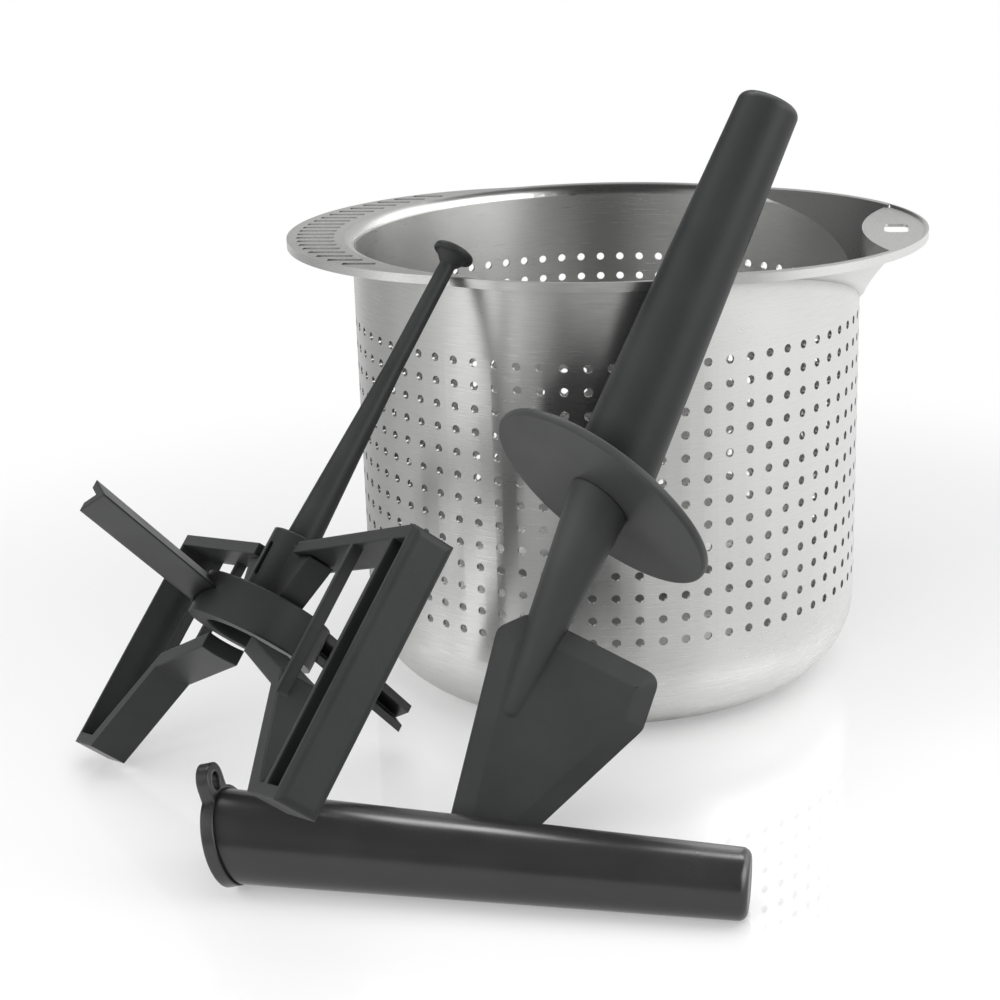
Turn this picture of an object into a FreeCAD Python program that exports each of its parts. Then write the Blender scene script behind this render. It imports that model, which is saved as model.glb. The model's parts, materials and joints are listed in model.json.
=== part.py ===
import FreeCAD, Part
import math
import os

os.makedirs("parts", exist_ok=True)

# Basket, millimetres
basket_radius = 70.0
basket_height = 126.3
sheet = 0.8
base_corner = 22.0
bend_radius = 2.2
rim_overhang = 1.3
hem_height = 2.3
hem_wall = 1.0
ear_radius = 66.0
handle_ear_reach = 88.5
lip_ear_reach = 88.0
ear_blend = 32.0

# Perforated band
hole_columns = 72
hole_rows = 13
hole_diameter = 2.3
row_pitch = 6.12
top_row_drop = 22.4
first_column_angle = 2.0
band_margin = 1.9

# Slotted handle ear
slot_count = 21
slot_pitch = 5.0
slot_width = 2.2
slot_inner_share = 0.17
slot_outer_share = 0.82

# Pouring lip
spout_depth = 20.2
spout_root_radius = 1.5
spout_root_inside = 0.4
spout_lift = 1.0
lip_land = 0.6
lip_drop = 0.65
lip_fold_radius = 75.0
lip_fold_out = 1.0
lip_hole_length = 11.7
lip_hole_inner_share = 0.34
lip_hole_outer_share = 0.70
lip_hole_corner_share = 0.3

# Stirring paddle, in its own frame: x along the wings, z along the rod
ring_radius = 16.0
ring_height = 10.5
drive_bore_radius = 11.0
drive_bore_depth = 8.0
hub_radius = 7.2
hub_top = 27.0
web_reach = 13.5
web_shoulder = 20.5
web_half_depth = 3.2
wing_reach = 78.0
wing_half_depth = 5.0
wing_drop = 35.2
wing_top_at_hub = 24.1
wing_rise = 3.4
bar_thickness = 2.9
plate_thickness = 2.7
rib_thickness = 1.8
rib_depth = 2.6
inner_rib_share = 0.62
outer_rib_share = 0.885
knee_share = 0.565
knee_drop = 7.5
foot_share = 0.79
corner_round = 1.8
arm_reach = 68.5
arm_skew = 39.9
arm_offset = 5.3
arm_height = 6.45
arm_spread = 9.3
arm_half_gape = 3.8
arm_plate = 1.8
arm_end_sweep = 7.4
window_width = 1.6
window_length = 9.0
window_turn = 12.0

# Lifting rod
spigot_radius = 3.0
socket_clearance = 0.1
socket_depth = 13.5
rod_root_radius = 4.1
rod_shank_radius = 2.25
rod_shank_length = 30.0
rod_neck_radius = 2.05
rod_cap_radius = 5.2
rod_cap_thickness = 1.8
rod_length = 83.0
rod_flare = 2.6

# Spatula, in its own frame: x across the blade, z along the handle
blade_length = 61.8
blade_left = 10.7
blade_right = 30.7
blade_toe_left = 1.6
blade_toe_right = 12.8
blade_toe_rise = 6.8
blade_shoulder = 47.0
blade_thickness = 4.0
blade_edge = 1.0
blade_bevel = 5.0
neck_root_radius = 5.1
neck_top_radius = 7.7
neck_length = 29.7
rib_tip_radius = 2.7
rib_length = 22.5
guard_radius = 30.3
guard_thickness = 2.2
guard_rise = 2.5
tang_radius = 3.6
tang_length = 22.0
guard_lean = 22.0
guard_lean_heading = 46.0
handle_root_radius = 10.8
handle_end_radius = 7.6
handle_length = 103.6
handle_end_round = 2.5

# Pusher, in its own frame: x from the flange to the closed end
tube_root_radius = 10.85
tube_end_radius = 8.1
tube_length = 120.5
tube_wall = 1.8
tube_end_round = 2.2
flange_rim = 0.9
flange_thickness = 3.0
flange_lean = 16.0
loop_radius = 4.4
loop_hole_radius = 2.2
loop_rise = 2.2

# Where the loose tools lie
touch_gap = 0.02
paddle_lean_gap = 0.7
spatula_lean_gap = 0.35
lean_steps = 14
floor_gap = 0.4
paddle_heading = -119.9
spatula_heading = -101.2
pusher_left = -74.63
pusher_front = 74.59
pusher_yaw = -2.7

paddle_wing_way = FreeCAD.Vector(0.5685, -0.7680, 0.2947)
paddle_rod_way = FreeCAD.Vector(0.3806, 0.5632, 0.7335)
spatula_way = FreeCAD.Vector(0.370, 0.3745, 0.850)
spatula_across = FreeCAD.Vector(0.9156, 0.0113, -0.4018)

V = FreeCAD.Vector
up = V(0, 0, 1)
rim_radius = basket_radius + bend_radius + rim_overhang


def pose(origin, x_way, z_way):
    z = FreeCAD.Vector(z_way)
    z.normalize()
    x = x_way - z * x_way.dot(z)
    x.normalize()
    y = z.cross(x)
    m = FreeCAD.Matrix(x.x, y.x, z.x, origin.x,
                       x.y, y.y, z.y, origin.y,
                       x.z, y.z, z.z, origin.z,
                       0, 0, 0, 1)
    return FreeCAD.Placement(m)


def polar(radius, heading, z=0.0):
    a = math.radians(heading)
    return V(radius * math.cos(a), radius * math.sin(a), z)


def box(x0, x1, y0, y1, z0, z1):
    return Part.makeBox(x1 - x0, y1 - y0, z1 - z0, V(x0, y0, z0))


def disc(radius, z0, z1, centre_x=0.0):
    return Part.makeCylinder(radius, z1 - z0, V(centre_x, 0, z0), up)


def cone(r0, r1, z0, z1):
    return Part.makeCone(r0, r1, z1 - z0, V(0, 0, z0), up)


def slab(points, y0, y1):
    wire = Part.makePolygon([V(x, y0, z) for x, z in points + points[:1]])
    return Part.Face(wire).extrude(V(0, y1 - y0, 0))


def fuse_all(solids):
    return solids[0].multiFuse(solids[1:]).removeSplitter()


def save(shape, name, placement=None):
    solid = max(shape.Solids, key=lambda s: s.Volume)
    if placement is not None:
        solid = solid.transformed(placement.toMatrix(), True)
    solid.exportStep("parts/" + name + ".step")


# Basket drum: a cup, a perforated band and a collar with the bend and the spout
r, h, t, c = basket_radius, basket_height, sheet, base_corner
k = math.sqrt(0.5)
bend_x = r + bend_radius
bend_z = h - t - bend_radius
top_row = h - top_row_drop
band_top = top_row + band_margin
band_low = top_row - hole_rows * row_pitch


def spun(edges, angle=360):
    return Part.Face(Part.Wire(edges)).revolve(V(0, 0, 0), up, angle)


def line(x0, z0, x1, z1):
    return Part.makeLine(V(x0, 0, z0), V(x1, 0, z1))


def arc(x0, z0, x1, z1, x2, z2):
    return Part.Arc(V(x0, 0, z0), V(x1, 0, z1), V(x2, 0, z2)).toShape()


cup = spun([
    line(0, 0, r - c, 0),
    arc(r - c, 0, r - c + c * k, c - c * k, r, c),
    line(r, c, r, band_low),
    line(r, band_low, r - t, band_low),
    line(r - t, band_low, r - t, c),
    arc(r - t, c, r - c + (c - t) * k, c - (c - t) * k, r - c, t),
    line(r - c, t, 0, t),
    line(0, t, 0, 0)])

sectors = 12
sector_angle = 360.0 / sectors
sector = spun([line(r - t, band_low, r, band_low), line(r, band_low, r, band_top),
               line(r, band_top, r - t, band_top), line(r - t, band_top, r - t, band_low)], sector_angle)
column_pitch = 360.0 / hole_columns
hole_cuts = []
for row in range(hole_rows):
    z = top_row - row * row_pitch
    for column in range(hole_columns // sectors):
        heading = (column + 0.5) * column_pitch
        start = polar(r - 2.0 * t, heading, z)
        hole_cuts.append(Part.makeCylinder(hole_diameter / 2, 3.0 * t, start, polar(1.0, heading)))
sector = sector.cut(Part.makeCompound(hole_cuts)).Solids[0]
band = []
for number in range(sectors):
    piece = sector.copy()
    piece.rotate(V(0, 0, 0), up, first_column_angle - column_pitch / 2 + number * sector_angle)
    band.append(piece)


lip_x = lip_ear_reach - ear_radius
spout_mouth_radius = ear_radius - lip_land


def spout(lift, top):
    # Slanted cone from a small root inside the wall to the pouring ear at the rim
    low_z = h - spout_depth
    root_x = r - spout_root_inside - spout_root_radius
    grow = (top - low_z - lift) / spout_depth
    top_x = root_x + (lip_x - root_x) * grow
    top_r = spout_root_radius + (spout_mouth_radius - spout_root_radius) * grow
    low = Part.Wire(Part.makeCircle(spout_root_radius, V(root_x, 0, low_z + lift), up))
    high = Part.Wire(Part.makeCircle(top_r, V(top_x, 0, top), up))
    return Part.makeLoft([low, high], True, True)


spout_outer = spout(0.0, h)
spout_inner = spout(spout_lift, h + 1.0)
collar_outside = spun([
    line(0, band_top, r, band_top), line(r, band_top, r, bend_z),
    arc(r, bend_z, bend_x - bend_radius * k, bend_z + bend_radius * k, bend_x, h - t),
    line(bend_x, h - t, bend_x, h), line(bend_x, h, 0, h), line(0, h, 0, band_top)])
big_bend = bend_radius + t
collar_inside = spun([
    line(0, band_top, r - t, band_top), line(r - t, band_top, r - t, bend_z),
    arc(r - t, bend_z, bend_x - big_bend * k, bend_z + big_bend * k, bend_x, h),
    line(bend_x, h, bend_x, h + 1.0), line(bend_x, h + 1.0, 0, h + 1.0), line(0, h + 1.0, 0, band_top)])
lip_top = h - lip_drop
fold_x = r + lip_fold_out + lip_fold_radius
beyond_fold = disc(lip_fold_radius, band_top, h + 1.0, fold_x)
from_fold_wall = disc(lip_fold_radius + t, band_top, h + 1.0, fold_x)
fold_wall = from_fold_wall.cut(beyond_fold).common(disc(lip_ear_reach, band_top, lip_top))
lip = from_fold_wall.common(disc(lip_ear_reach, lip_top - t, lip_top))
hole_x0 = r + lip_hole_inner_share * (lip_ear_reach - r)
hole_x1 = r + lip_hole_outer_share * (lip_ear_reach - r)
lip_hole = box(hole_x0, hole_x1, -lip_hole_length / 2, lip_hole_length / 2, lip_top - 2 * t, h + 1.0)
lip_hole = lip_hole.makeFillet(lip_hole_corner_share * (hole_x1 - hole_x0),
                               [e for e in lip_hole.Edges if abs(e.tangentAt(0).z) > 0.9])
lip = fold_wall.fuse(lip).common(spout_outer).cut(lip_hole)
collar = collar_outside.fuse(spout_outer.cut(beyond_fold)).cut(collar_inside).cut(spout_inner).fuse(lip)
drum = cup.multiFuse(band + [max(collar.Solids, key=lambda s: s.Volume)])
save(drum, "basket_drum")

# Rim: flange with a folded hem, a slotted ear and a pouring ear


def rim_block(inset, z0, z1):
    handle_x = ear_radius - handle_ear_reach
    block = fuse_all([disc(rim_radius - inset, z0, z1), disc(ear_radius - inset, z0, z1, handle_x),
                      disc(ear_radius - inset, z0, z1, lip_x)])
    corners = []
    for edge in block.Edges:
        upright = abs(edge.Vertexes[0].X - edge.Vertexes[-1].X) < 1e-6 and edge.Length < z1 - z0 + 1e-6
        on_crossing = abs(edge.Vertexes[0].Y) > ear_radius * 0.5
        if upright and on_crossing:
            corners.append(edge)
    return block.makeFillet(ear_blend + inset, corners)


rim = rim_block(0.0, h - hem_height, h).cut(rim_block(hem_wall, h - hem_height - 1.0, h - t))
rim = rim.cut(disc(bend_x, h - 2 * hem_height, h + 1.0)).cut(spout(0.0, h + 1.0))
slot_cuts = []
for number in range(slot_count):
    y = (number - (slot_count - 1) / 2) * slot_pitch
    wall = math.sqrt(bend_x ** 2 - y ** 2)
    edge = handle_ear_reach - ear_radius + math.sqrt(ear_radius ** 2 - y ** 2)
    near = wall + slot_inner_share * (edge - wall)
    far = wall + slot_outer_share * (edge - wall)
    slot_cuts.append(box(-far, -near, y - slot_width / 2, y + slot_width / 2, h - 2 * t, h + 1.0))
rim = rim.cut(Part.makeCompound(slot_cuts))
save(rim, "basket_rim")

# Paddle hub with its ring, webs and drive bore
web_low = ring_height - 1.0
web_top = wing_top_at_hub - bar_thickness - touch_gap
right_web = slab([(0, web_low), (web_reach, web_low), (web_shoulder, web_top), (web_reach, web_top),
                  (web_reach, wing_top_at_hub), (0, wing_top_at_hub)], -web_half_depth, web_half_depth)
left_web = right_web.copy()
left_web.rotate(V(0, 0, 0), up, 180)
hub = fuse_all([disc(ring_radius, 0, ring_height), disc(hub_radius, web_low, hub_top), right_web, left_web])
hub = hub.cut(disc(drive_bore_radius, -1.0, drive_bore_depth))
socket_floor = hub_top - socket_depth
hub = hub.cut(disc(spigot_radius + socket_clearance, socket_floor, hub_top + 1.0))
window_low = socket_floor + window_width
window_high = window_low + window_length - window_width
side = V(0, -1, 0)
window = fuse_all([
    box(-window_width / 2, window_width / 2, -2 * hub_radius, 0, window_low, window_high),
    Part.makeCylinder(window_width / 2, 2 * hub_radius, V(0, 0, window_low), side),
    Part.makeCylinder(window_width / 2, 2 * hub_radius, V(0, 0, window_high), side)])
window.rotate(V(0, 0, 0), up, window_turn)
hub = hub.cut(window)

# Wings: an open frame with two ribs, the second a half-turn copy


def top_of_wing(x):
    return wing_top_at_hub + wing_rise * x / wing_reach


foot_x = wing_reach * foot_share
knee_x = wing_reach * knee_share
inner_rib_x = wing_reach * inner_rib_share
outer_rib_x = wing_reach * outer_rib_share
rib_low = -wing_half_depth
rib_high = rib_low + rib_depth
wing_root_x = web_reach + touch_gap
low_bar_top = ring_height * 0.3


def full_bar(points):
    return slab(points, -wing_half_depth, wing_half_depth)


def low_bar_at(x):
    if x < knee_x:
        return low_bar_top - (low_bar_top + knee_drop) * x / knee_x
    share = (x - knee_x) / (foot_x + bar_thickness - knee_x)
    return -knee_drop - (wing_drop - bar_thickness - knee_drop) * share


top_bar = full_bar([(wing_root_x, top_of_wing(0) - bar_thickness),
                    (wing_reach, top_of_wing(wing_reach) - bar_thickness),
                    (wing_reach, top_of_wing(wing_reach)), (wing_root_x, top_of_wing(0))])
low_bar = full_bar([(0, low_bar_top), (0, low_bar_top - 1.3 * bar_thickness),
                    (knee_x - 0.5 * bar_thickness, -knee_drop - 1.3 * bar_thickness),
                    (foot_x - 0.3 * bar_thickness, -wing_drop), (foot_x + bar_thickness, -wing_drop),
                    (foot_x + bar_thickness, bar_thickness - wing_drop), (knee_x, -knee_drop)])
outer_plate = box(wing_reach - plate_thickness, wing_reach, -wing_half_depth, wing_half_depth,
                  -wing_drop, top_of_wing(wing_reach) - bar_thickness / 2)
foot_bar = box(foot_x, wing_reach, -wing_half_depth, wing_half_depth, -wing_drop, bar_thickness - wing_drop)
inner_rib = box(inner_rib_x - rib_thickness, inner_rib_x, rib_low, rib_high,
                low_bar_at(inner_rib_x) - bar_thickness / 2, top_of_wing(inner_rib_x) - 1.0)
outer_rib = box(outer_rib_x - rib_thickness, outer_rib_x, rib_low, rib_high,
                bar_thickness / 2 - wing_drop, top_of_wing(outer_rib_x) - 1.0)
right_wing = fuse_all([top_bar, low_bar, outer_plate, foot_bar, inner_rib, outer_rib])
envelope = full_bar([(0, -wing_drop), (wing_reach, -wing_drop), (wing_reach, top_of_wing(wing_reach)),
                     (0, wing_top_at_hub)])
envelope = envelope.makeFillet(corner_round,
                               [e for e in envelope.Edges if e.BoundBox.XMin > wing_reach - 0.01])
right_wing = right_wing.common(envelope)
right_wing = right_wing.cut(disc(ring_radius + touch_gap, -wing_drop - 1.0, ring_height + 1.0))
left_wing = right_wing.copy()
left_wing.rotate(V(0, 0, 0), up, 180)

# Scraper arms: a vee of two plates, swept back at the end, the second a half-turn copy
gape = math.atan2(arm_half_gape, arm_spread)
skin_x = arm_plate / math.sin(gape)
skin_z = arm_plate / math.cos(gape)
vee = [(-arm_offset, arm_height), (-arm_offset - arm_spread, arm_height + arm_half_gape),
       (-arm_offset - arm_spread, arm_height + arm_half_gape - skin_z), (-arm_offset - skin_x, arm_height),
       (-arm_offset - arm_spread, arm_height - arm_half_gape + skin_z),
       (-arm_offset - arm_spread, arm_height - arm_half_gape)]
front_arm = slab(vee, -arm_reach, 0)
sweep = Part.makePolygon([V(-arm_offset, -arm_reach, -1.0),
                          V(-arm_offset - 2 * arm_spread, 2 * arm_end_sweep - arm_reach, -1.0),
                          V(-arm_offset - 2 * arm_spread, -arm_reach, -1.0),
                          V(-arm_offset, -arm_reach, -1.0)])
front_arm = front_arm.cut(Part.Face(sweep).extrude(V(0, 0, 2 * ring_height)))
front_arm.rotate(V(0, 0, 0), up, arm_skew)
front_arm = front_arm.cut(disc(ring_radius + touch_gap, -1.0, ring_height + 1.0))
rear_arm = front_arm.copy()
rear_arm.rotate(V(0, 0, 0), up, 180)

# Lifting rod with a spigot in the hub's socket and a button cap
rod_foot = hub_top + socket_clearance
rod_top = rod_foot + rod_length
neck_z = rod_top - rod_cap_thickness - rod_flare
cap = disc(rod_cap_radius, rod_top - rod_cap_thickness, rod_top)
cap = cap.makeFillet(rod_cap_thickness * 0.4, [e for e in cap.Edges if len(e.Vertexes) == 1])
rod = fuse_all([disc(spigot_radius, socket_floor + socket_clearance, rod_foot),
                cone(rod_root_radius, rod_shank_radius, rod_foot, neck_z - rod_shank_length),
                cone(rod_shank_radius, rod_neck_radius, neck_z - rod_shank_length, neck_z),
                cone(rod_neck_radius, rod_cap_radius * 0.8, neck_z, rod_top - rod_cap_thickness), cap])

# The paddle and the spatula stand on the floor and lean on the rim
lean_stops = Part.makeCompound([rim_block(0.0, h - hem_height, h), disc(r, 0, h)])


def leaning_pose(solids, x_way, z_way, heading, lean_gap):
    # Start well outside the rim, on the floor, and come in until the nearest piece all but touches
    turned = pose(V(0, 0, 0), FreeCAD.Vector(x_way), FreeCAD.Vector(z_way))
    loose = Part.makeCompound([solid.transformed(turned.toMatrix(), True) for solid in solids])
    size = loose.BoundBox
    place = polar(handle_ear_reach + size.DiagonalLength, heading, floor_gap - size.ZMin)
    for step in range(lean_steps):
        gap = loose.translated(place).distToShape(lean_stops)[0]
        place = place - polar(gap - lean_gap, heading)
    return pose(place, FreeCAD.Vector(x_way), FreeCAD.Vector(z_way))


paddle_pose = leaning_pose([right_wing, left_wing, front_arm, rear_arm, rod], paddle_wing_way, paddle_rod_way,
                           paddle_heading, paddle_lean_gap)
save(hub, "paddle_hub", paddle_pose)
save(right_wing, "paddle_right_wing", paddle_pose)
save(left_wing, "paddle_left_wing", paddle_pose)
save(front_arm, "paddle_front_arm", paddle_pose)
save(rear_arm, "paddle_rear_arm", paddle_pose)
save(rod, "lifting_rod", paddle_pose)

# Spatula blade: flat panel with bevelled borders, running into the neck by a rib


def rounded(points, radius, steps=6):
    out = []
    for i, p in enumerate(points):
        before = V(points[i - 1][0] - p[0], points[i - 1][1] - p[1], 0)
        after = V(points[(i + 1) % len(points)][0] - p[0], points[(i + 1) % len(points)][1] - p[1], 0)
        half = before.getAngle(after) / 2
        reach = min(radius / math.tan(half), 0.45 * before.Length, 0.45 * after.Length)
        a = V(p[0], p[1], 0) + before.normalize() * reach
        b = V(p[0], p[1], 0) + after.normalize() * reach
        for n in range(steps + 1):
            f = n / steps
            q = a * (1 - f) ** 2 + V(p[0], p[1], 0) * 2 * f * (1 - f) + b * f ** 2
            out.append((q.x, q.y))
    return out


def inset(points, distance):
    out = []
    for i, p in enumerate(points):
        q = points[i - 1]
        s = points[(i + 1) % len(points)]
        d1 = V(p[0] - q[0], p[1] - q[1], 0).normalize()
        d2 = V(s[0] - p[0], s[1] - p[1], 0).normalize()
        bis = V(-d1.y - d2.y, d1.x + d2.x, 0).normalize()
        step = distance / max(0.5, bis.dot(V(-d1.y, d1.x, 0)))
        out.append((p[0] + bis.x * step, p[1] + bis.y * step))
    return out


def outline(points, y):
    return Part.makePolygon([V(x, y, z) for x, z in points + points[:1]])


blade_points = [(-blade_toe_left, 0), (blade_toe_right, blade_toe_rise), (blade_right, blade_shoulder),
                (blade_right - 1.0, blade_length - 1.6), (neck_root_radius, blade_length),
                (-neck_root_radius, blade_length), (-blade_left, blade_length - 6.0)]
edge_points = rounded(blade_points, 4.0)
panel_points = inset(rounded(inset(blade_points, blade_bevel * 0.6), 2.0), blade_bevel * 0.4)
half_edge = blade_edge / 2
half_panel = blade_thickness / 2
panel = Part.makeLoft([outline(panel_points, -half_panel), outline(edge_points, -half_edge),
                       outline(edge_points, half_edge), outline(panel_points, half_panel)], True, True)
neck_top = blade_length + neck_length
guard_z = neck_top + guard_rise
lean_axis = polar(1.0, guard_lean_heading + 90.0)


def lean(shape):
    shape.rotate(V(0, 0, guard_z), lean_axis, guard_lean)
    return shape


# Neck: trimmed by the leaning guard, with a tang through the guard into the handle
neck_slope = (neck_top_radius - neck_root_radius) / neck_length
neck_end = guard_z + neck_top_radius
neck = cone(neck_root_radius, neck_top_radius + neck_slope * (neck_end - neck_top), blade_length, neck_end)
guard_underside = guard_z - guard_thickness / 2 - touch_gap
neck = neck.cut(lean(disc(4 * guard_radius, guard_underside, guard_z + 4 * guard_radius)))
tang_top = guard_z + tang_length
blade = fuse_all([panel, neck, disc(tang_radius, blade_length + neck_length / 2, tang_top),
                  cone(rib_tip_radius, neck_root_radius, blade_length - rib_length, blade_length),
                  Part.makeSphere(rib_tip_radius, V(0, 0, blade_length - rib_length))])

# Guard disc leaning on the neck, and the handle above it
tang_hole = disc(tang_radius + touch_gap, blade_length, tang_top + touch_gap)
plate = disc(guard_radius, guard_z - guard_thickness / 2, guard_z + guard_thickness / 2)
plate = lean(plate.makeFillet(guard_thickness * 0.35, [e for e in plate.Edges if len(e.Vertexes) == 1]))
below = lean(disc(4 * guard_radius, guard_z - 4 * guard_radius, guard_z + guard_thickness / 2 + touch_gap))
guard = plate.cut(tang_hole)
handle_top = guard_z + handle_length
handle = cone(handle_root_radius, handle_end_radius, guard_z - handle_root_radius, handle_top)
handle = handle.makeFillet(handle_end_round, [e for e in handle.Edges if e.BoundBox.ZMin > handle_top - 1.0])
handle = handle.cut(below).cut(tang_hole)

spatula_pose = leaning_pose([blade, guard, handle], spatula_across, spatula_way,
                            spatula_heading, spatula_lean_gap)
save(blade, "spatula_blade", spatula_pose)
save(guard, "spatula_guard", spatula_pose)
save(handle, "spatula_handle", spatula_pose)

# Pusher: a tapered tube closed at the thin end, with a leaning flange and a hanging loop
axis = V(1, 0, 0)
taper = (tube_root_radius - tube_end_radius) / tube_length
overrun = flange_thickness + 2 * tube_root_radius


def tube_cone(inset_by, x0, x1):
    return Part.makeCone(tube_root_radius - inset_by - taper * x0, tube_root_radius - inset_by - taper * x1,
                         x1 - x0, V(x0, 0, 0), axis)


def lean_flange(shape):
    shape.rotate(V(0, 0, 0), V(0, 1, 0), -flange_lean)
    return shape


tube = tube_cone(0, -overrun, tube_length)
tube = tube.makeFillet(tube_end_round, [e for e in tube.Edges if e.BoundBox.XMin > tube_length - 1.0])
tube = tube.cut(tube_cone(tube_wall, -overrun - 1.0, tube_length - 1.4 * tube_wall))
beyond = lean_flange(Part.makeCylinder(6 * tube_root_radius, 6 * tube_root_radius,
                                       V(-flange_thickness / 2, 0, 0), V(-1, 0, 0)))
tube = tube.cut(beyond)
flange_radius = tube_root_radius + flange_rim
loop_z = flange_radius + loop_rise
disc_x = -flange_thickness / 2
flange = Part.makeCylinder(flange_radius, flange_thickness, V(disc_x, 0, 0), axis)
loop = Part.makeCylinder(loop_radius, flange_thickness, V(disc_x, 0, loop_z), axis)
loop_web = box(disc_x, disc_x + flange_thickness, -loop_radius, loop_radius, 0, loop_z)
loop_hole = Part.makeCylinder(loop_hole_radius, 2 * flange_thickness, V(2 * disc_x, 0, loop_z), axis)
flange = lean_flange(fuse_all([flange, loop, loop_web]).cut(loop_hole))
flange = flange.cut(tube_cone(-touch_gap, -overrun, overrun))
pusher_drop = math.atan2(flange_radius - tube_end_radius, tube_length)
pusher_way = V(math.cos(math.radians(pusher_yaw)), math.sin(math.radians(pusher_yaw)), -math.tan(pusher_drop))
pusher_at = V(pusher_left, -rim_radius - pusher_front, flange_radius + floor_gap)
pusher_pose = pose(pusher_at, pusher_way, pusher_way.cross(V(0, 1, 0)))
save(tube, "pusher_tube", pusher_pose)
save(flange, "pusher_flange", pusher_pose)
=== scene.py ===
import bpy
import json
import math
from mathutils import Matrix, Vector

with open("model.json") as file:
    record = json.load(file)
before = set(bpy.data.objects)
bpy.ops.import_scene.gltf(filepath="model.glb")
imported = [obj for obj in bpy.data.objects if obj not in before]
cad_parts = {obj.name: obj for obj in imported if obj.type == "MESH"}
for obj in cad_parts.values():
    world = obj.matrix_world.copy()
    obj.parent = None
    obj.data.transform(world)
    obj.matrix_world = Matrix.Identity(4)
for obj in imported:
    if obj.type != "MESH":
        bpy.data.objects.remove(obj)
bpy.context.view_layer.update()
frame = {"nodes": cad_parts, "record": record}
scene = bpy.context.scene
scene.view_settings.view_transform = "Standard"


# Camera at the photograph's place, in metres and millimetres of lens
camera_place = Vector((0.05712, -0.56149, 0.23278))
camera_right = Vector((0.98876, 0.14626, -0.03110))
camera_up = Vector((-0.01647, 0.31321, 0.94954))
camera_ahead = Vector((-0.14862, 0.93835, -0.31210))
sensor_width = 36.0
focal_length = 73.94
nearest_seen = 0.01
camera_data = bpy.data.cameras.new("camera")
camera_data.sensor_width = sensor_width
camera_data.lens = focal_length
camera_data.clip_start = nearest_seen
camera = bpy.data.objects.new("camera", camera_data)
turn = Matrix((camera_right, camera_up, -camera_ahead)).transposed()
camera.matrix_world = Matrix.Translation(camera_place) @ turn.to_4x4()
scene.collection.objects.link(camera)
scene.camera = camera


# Node helpers
def new_material(name):
    material = bpy.data.materials.new(name)
    material.use_nodes = True
    nodes = material.node_tree.nodes
    return material, nodes, material.node_tree.links, nodes["Principled BSDF"]


def add(nodes, kind, **values):
    node = nodes.new(kind)
    for key, value in values.items():
        setattr(node, key, value)
    return node


def settle(node, **levels):
    for name, level in levels.items():
        node.inputs[name.replace("_", " ")].default_value = level


def math_node(nodes, links, operation, first, second=None):
    node = add(nodes, "ShaderNodeMath", operation=operation)
    for index, value in enumerate((first, second)):
        if value is None:
            continue
        if isinstance(value, (int, float)):
            node.inputs[index].default_value = value
        else:
            links.new(value, node.inputs[index])
    return node.outputs[0]


def ramp(nodes, links, source, stops):
    node = nodes.new("ShaderNodeValToRGB")
    while len(node.color_ramp.elements) < len(stops):
        node.color_ramp.elements.new(0.5)
    for element, (place, value) in zip(node.color_ramp.elements, stops):
        element.position = place
        element.color = (value, value, value, 1) if isinstance(value, float) else (*value, 1)
    links.new(source, node.inputs[0])
    return node.outputs[0]


def noise(nodes, links, vector, scale, detail, rough=0.5):
    node = nodes.new("ShaderNodeTexNoise")
    settle(node, Scale=scale, Detail=detail, Roughness=rough)
    links.new(vector, node.inputs["Vector"])
    return node.outputs["Fac"]


def parted(nodes, links, vector):
    split = nodes.new("ShaderNodeSeparateXYZ")
    links.new(vector, split.inputs[0])
    return split


def heading_of(nodes, links, split):
    return math_node(nodes, links, "ARCTAN2", split.outputs["Y"], split.outputs["X"])


def smooth_step(nodes, links, source, start, end, least=0.0):
    node = add(nodes, "ShaderNodeMapRange", interpolation_type="SMOOTHSTEP")
    settle(node, From_Min=start, From_Max=end, To_Min=least)
    links.new(source, node.inputs["Value"])
    return node.outputs[0]


def mixed_shader(nodes, links, share, first, second):
    node = nodes.new("ShaderNodeMixShader")
    for index, source in enumerate((share, first, second)):
        links.new(source, node.inputs[index])
    return node.outputs[0]


def bumped(nodes, links, height, strength, depth, shader):
    bump = nodes.new("ShaderNodeBump")
    settle(bump, Strength=strength, Distance=depth)
    links.new(height, bump.inputs["Height"])
    links.new(bump.outputs[0], shader.inputs["Normal"])
    return bump


# Painted shade: ambient occlusion darkens the base colour in creases, holes and between parts
def painted_crease_shade(nodes, links, tint, reach, shader, own_piece_only):
    occlusion_shade = add(nodes, "ShaderNodeAmbientOcclusion", samples=8, only_local=own_piece_only)
    settle(occlusion_shade, Distance=reach)
    links.new(tint, occlusion_shade.inputs["Color"])
    links.new(occlusion_shade.outputs["Color"], shader.inputs["Base Color"])


# Brushed steel: short fine grooves run round the basket's axis; painted shade darkens holes and slots
grooves_round = 9.0
grooves_per_metre = 2600.0
groove_share = 0.7
patch_share = 0.3
patch_scale = 22.0
steel_dark = (0.70, 0.70, 0.69)
steel_light = (0.84, 0.84, 0.83)
steel_rough = 0.35
steel_smooth = 0.25
steel_painted_shade_reach = 0.003
groove_strength = 0.10
groove_depth = 0.0001
highlight_stretch = 0.75
highlight_quarter_turn = 0.25


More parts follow.
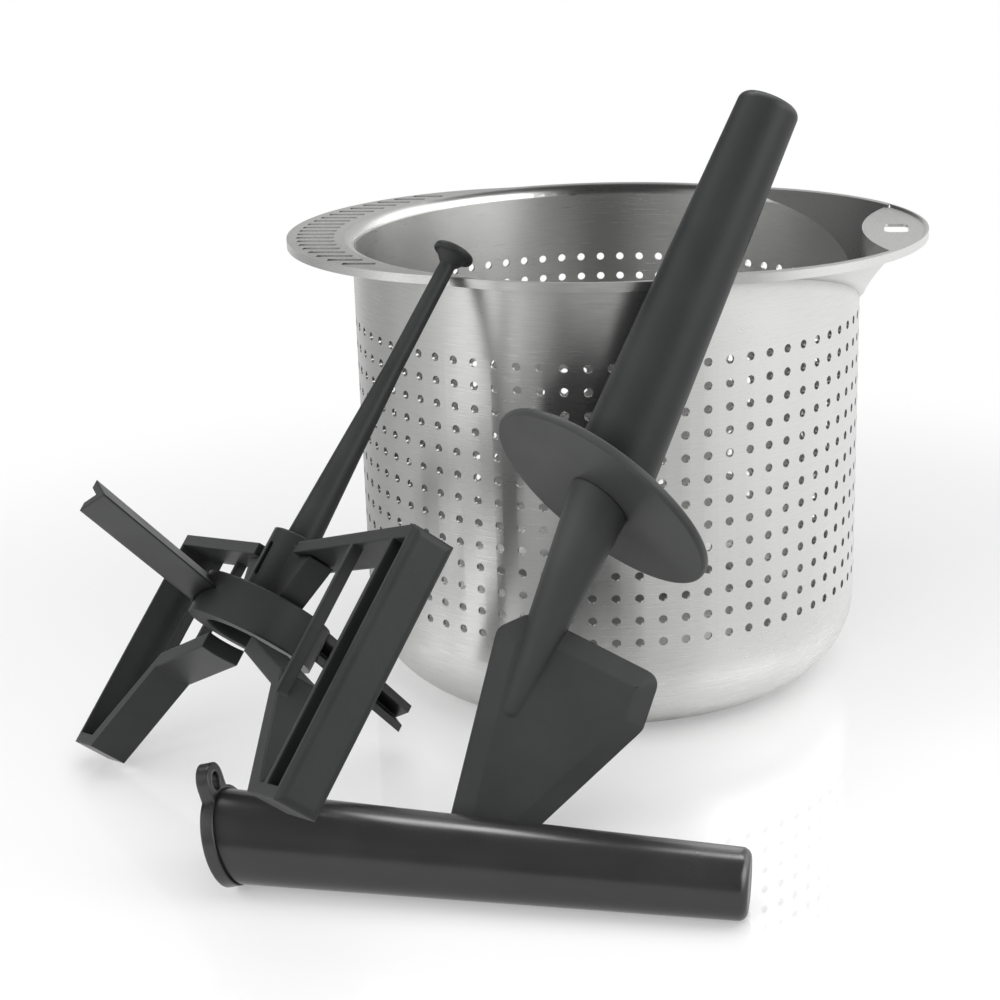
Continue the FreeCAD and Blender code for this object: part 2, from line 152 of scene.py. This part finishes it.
def brushed_steel(name):
    material, nodes, links, shader = new_material(name)
    place = nodes.new("ShaderNodeTexCoord").outputs["Object"]
    split = parted(nodes, links, place)
    flat = nodes.new("ShaderNodeCombineXYZ")
    links.new(split.outputs["X"], flat.inputs["X"])
    links.new(split.outputs["Y"], flat.inputs["Y"])
    radius = add(nodes, "ShaderNodeVectorMath", operation="LENGTH")
    links.new(flat.outputs[0], radius.inputs[0])
    groove = nodes.new("ShaderNodeCombineXYZ")
    for axis, source, count in (("X", heading_of(nodes, links, split), grooves_round),
                                ("Y", split.outputs["Z"], grooves_per_metre),
                                ("Z", radius.outputs["Value"], grooves_per_metre)):
        links.new(math_node(nodes, links, "MULTIPLY", source, count), groove.inputs[axis])
    fine = noise(nodes, links, groove.outputs[0], 1.0, 4.0, 0.6)
    patches = noise(nodes, links, place, patch_scale, 3.0)
    grain = math_node(nodes, links, "ADD", math_node(nodes, links, "MULTIPLY", fine, groove_share),
                      math_node(nodes, links, "MULTIPLY", patches, patch_share))
    tint = ramp(nodes, links, grain, [(0.25, steel_dark), (0.75, steel_light)])
    # Painted shade: ambient occlusion within each steel piece darkens the colour in holes, slots and folds
    painted_crease_shade(nodes, links, tint, steel_painted_shade_reach, shader, True)
    gloss = ramp(nodes, links, grain, [(0.3, steel_rough), (0.7, steel_smooth)])
    links.new(gloss, shader.inputs["Roughness"])
    bumped(nodes, links, fine, groove_strength, groove_depth, shader)
    tangent = add(nodes, "ShaderNodeTangent", direction_type="RADIAL", axis="Z")
    links.new(tangent.outputs[0], shader.inputs["Tangent"])
    settle(shader, Anisotropic=highlight_stretch, Anisotropic_Rotation=highlight_quarter_turn, Metallic=1.0)
    return material


# Moulded plastic: fine grain, slight mottling, painted shade in creases and between parts, edges rounded by
# the mould
mottle_scale = 60.0
grain_scale = 2600.0
grain_depth = 0.0002
plastic_painted_shade_reach = 0.012


def grey(level, lift):
    return (level, level + lift, level + lift)


def moulded_plastic(name, dark, light, rough_low, rough_high, grain_strength, edge, specular):
    material, nodes, links, shader = new_material(name)
    place = nodes.new("ShaderNodeTexCoord").outputs["Object"]
    mottle = noise(nodes, links, place, mottle_scale, 4.0)
    grain = noise(nodes, links, place, grain_scale, 2.0)
    tint = ramp(nodes, links, mottle, [(0.3, dark), (0.7, light)])
    # Painted shade: ambient occlusion, neighbouring pieces included, darkens the colour in creases and
    # between parts
    painted_crease_shade(nodes, links, tint, plastic_painted_shade_reach, shader, False)
    gloss = ramp(nodes, links, mottle, [(0.3, rough_low), (0.7, rough_high)])
    links.new(gloss, shader.inputs["Roughness"])
    settle(shader, Specular_IOR_Level=specular)
    rounded = add(nodes, "ShaderNodeBevel", samples=6)
    settle(rounded, Radius=edge)
    bump = bumped(nodes, links, grain, grain_strength, grain_depth, shader)
    links.new(rounded.outputs[0], bump.inputs["Normal"])
    return material


steel = brushed_steel("steel")
paddle_plastic = moulded_plastic(
    "paddle_plastic", dark=grey(0.023, 0.001), light=grey(0.031, 0.001), rough_low=0.34, rough_high=0.44,
    grain_strength=0.20, edge=0.0009, specular=0.20)
spatula_plastic = moulded_plastic(
    "spatula_plastic", dark=grey(0.040, 0.001), light=grey(0.049, 0.001), rough_low=0.38, rough_high=0.48,
    grain_strength=0.15, edge=0.0008, specular=0.30)
# The spatula handle gets a darker copy of the spatula plastic: painted shade
handle_shaded_plastic = moulded_plastic(
    "handle_shaded_plastic", dark=grey(0.021, 0.001), light=grey(0.027, 0.001), rough_low=0.38, rough_high=0.48,
    grain_strength=0.15, edge=0.0008, specular=0.30)
pusher_plastic = moulded_plastic(
    "pusher_plastic", dark=grey(0.019, 0.0), light=grey(0.025, 0.0), rough_low=0.22, rough_high=0.28,
    grain_strength=0.04, edge=0.0008, specular=0.9)
finishes = {"steel": steel, "paddle_plastic": paddle_plastic, "spatula_plastic": spatula_plastic,
            "pusher_plastic": pusher_plastic}
own_finishes = {"spatula_handle": handle_shaded_plastic}
plastic_nodes = []
for subpart in frame["record"]["subparts"]:
    node = frame["nodes"][subpart["node"]]
    finish = own_finishes.get(subpart["node"], finishes[subpart["material_slot"]])
    node.data.materials.clear()
    node.data.materials.append(finish)
    if finish is not steel:
        plastic_nodes.append(node)


# Studio surround as metal and gloss see it: brightness by heading in degrees, at table height and higher up
table_level = [(-180, 0.45), (-169, 0.50), (-157, 0.65), (-147, 1.0), (-126, 1.0), (-113, 0.58), (-97, 0.56),
               (-79, 0.58), (-54, 0.60), (-30, 0.62), (-15, 0.75), (20, 0.90), (100, 0.90), (126, 0.66),
               (145, 0.46), (165, 0.42), (180, 0.50)]
upper_level = [(-180, 0.95), (-165, 1.0), (-145, 0.60), (-120, 0.10), (-105, 0.04), (-70, 0.04), (-60, 0.12),
               (-50, 0.55), (-38, 2.0), (40, 2.0), (70, 0.62), (104, 0.50), (118, 0.10), (130, 0.02),
               (163, 0.02), (172, 0.60), (180, 0.95)]
crown_level = (0.05, 0.05, 0.05, 1)


def by_heading(nodes, links, split, levels):
    turned = math_node(nodes, links, "DIVIDE", heading_of(nodes, links, split), 2 * math.pi)
    share = math_node(nodes, links, "ADD", turned, 0.5)
    return ramp(nodes, links, share, [((heading + 180) / 360, level) for heading, level in levels])


# Floor: white and glossy, plain white to the camera further out
floor_size = 12.0
floor_colour = (0.93, 0.93, 0.93, 1)
floor_gloss = 0.9
floor_roughness = 0.03
white_from = 0.15
white_beyond = 0.32
white_share_near = 0.32
surround_from = 0.072
surround_beyond = 0.125


def plane(name, size, z):
    mesh = bpy.data.meshes.new(name)
    half = size / 2
    corners = [(-half, -half, z), (half, -half, z), (half, half, z), (-half, half, z)]
    mesh.from_pydata(corners, [], [(0, 1, 2, 3)])
    obj = bpy.data.objects.new(name, mesh)
    scene.collection.objects.link(obj)
    return obj


floor = plane("floor", floor_size, 0.0)
floor_material, nodes, links, shader = new_material("floor")
settle(shader, Base_Color=floor_colour, Roughness=floor_roughness, Specular_IOR_Level=floor_gloss)
place = nodes.new("ShaderNodeTexCoord").outputs["Object"]
distance = add(nodes, "ShaderNodeVectorMath", operation="LENGTH")
links.new(place, distance.inputs[0])
path = nodes.new("ShaderNodeLightPath")
far = smooth_step(nodes, links, distance.outputs["Value"], white_from, white_beyond, white_share_near)
far_seen = math_node(nodes, links, "MULTIPLY", far, path.outputs["Is Camera Ray"])
white = nodes.new("ShaderNodeEmission")
seen = mixed_shader(nodes, links, far_seen, shader.outputs[0], white.outputs[0])
outside = smooth_step(nodes, links, distance.outputs["Value"], surround_from, surround_beyond)
outside_seen = math_node(nodes, links, "MULTIPLY", outside, path.outputs["Is Glossy Ray"])
mirrored = nodes.new("ShaderNodeEmission")
links.new(by_heading(nodes, links, parted(nodes, links, place), table_level), mirrored.inputs["Color"])
surface = mixed_shader(nodes, links, outside_seen, seen, mirrored.outputs[0])
links.new(surface, nodes["Material Output"].inputs["Surface"])
floor.data.materials.append(floor_material)


# World: even light on matt surfaces, the surround for gloss, white to the camera
ambient_strength = 0.26
upper_from = -0.02
upper_beyond = 0.12
crown_from = 0.62
crown_beyond = 0.80
plain_white = (1, 1, 1, 1)
world = bpy.data.worlds.new("world")
scene.world = world
world.use_nodes = True
nodes, links = world.node_tree.nodes, world.node_tree.links
ambient = nodes["Background"]
settle(ambient, Color=plain_white, Strength=ambient_strength)
bright = nodes.new("ShaderNodeBackground")
settle(bright, Color=plain_white)
studio = nodes.new("ShaderNodeBackground")
way = parted(nodes, links, nodes.new("ShaderNodeTexCoord").outputs["Generated"])
blend = add(nodes, "ShaderNodeMix", data_type="RGBA")
links.new(smooth_step(nodes, links, way.outputs["Z"], upper_from, upper_beyond), blend.inputs["Factor"])
links.new(by_heading(nodes, links, way, table_level), blend.inputs["A"])
links.new(by_heading(nodes, links, way, upper_level), blend.inputs["B"])
crown = add(nodes, "ShaderNodeMix", data_type="RGBA")
links.new(smooth_step(nodes, links, way.outputs["Z"], crown_from, crown_beyond), crown.inputs["Factor"])
links.new(blend.outputs["Result"], crown.inputs["A"])
settle(crown, B=crown_level)
links.new(crown.outputs["Result"], studio.inputs["Color"])
path = nodes.new("ShaderNodeLightPath")
lit = mixed_shader(nodes, links, path.outputs["Is Glossy Ray"], ambient.outputs[0], studio.outputs[0])
surround = mixed_shader(nodes, links, path.outputs["Is Camera Ray"], lit, bright.outputs[0])
links.new(surround, nodes["World Output"].inputs["Surface"])


# Soft studio lights: place and target in metres, power in watts
def softbox(name, place, target, width, height, power):
    data = bpy.data.lights.new(name, "AREA")
    data.shape = "RECTANGLE"
    data.size = width
    data.size_y = height
    data.energy = power
    obj = bpy.data.objects.new(name, data)
    obj.location = place
    obj.rotation_euler = (Vector(target) - Vector(place)).to_track_quat("-Z", "Y").to_euler()
    scene.collection.objects.link(obj)
    return obj


overhead = softbox("overhead", place=(0.30, -0.22, 1.3), target=(0, -0.05, 0),
                   width=1.5, height=1.5, power=13.0)
left_box = softbox("left_box", place=(-0.9, -0.45, 0.55), target=(0, -0.05, 0.06),
                   width=0.6, height=0.6, power=4.2)
right_box = softbox("right_box", place=(1.0, -0.30, 0.65), target=(0, 0, 0.08),
                    width=0.8, height=0.7, power=3.2)
front_fill = softbox("front_fill", place=(-0.45, -0.95, 0.55), target=(0, -0.1, 0.06),
                     width=1.0, height=0.5, power=6.5)
for fill in (overhead, left_box, front_fill):
    fill.visible_glossy = False

# The strip behind is for the long highlights on the plastic pieces
back_strip = softbox("back_strip", place=(-0.10, 0.42, 1.05), target=(-0.05, -0.1, 0.05),
                     width=1.4, height=0.28, power=9.0)
back_strip.visible_diffuse = False
strip_lit = bpy.data.collections.new("strip_lit")
for node in plastic_nodes:
    strip_lit.objects.link(node)
back_strip.light_linking.receiver_collection = strip_lit
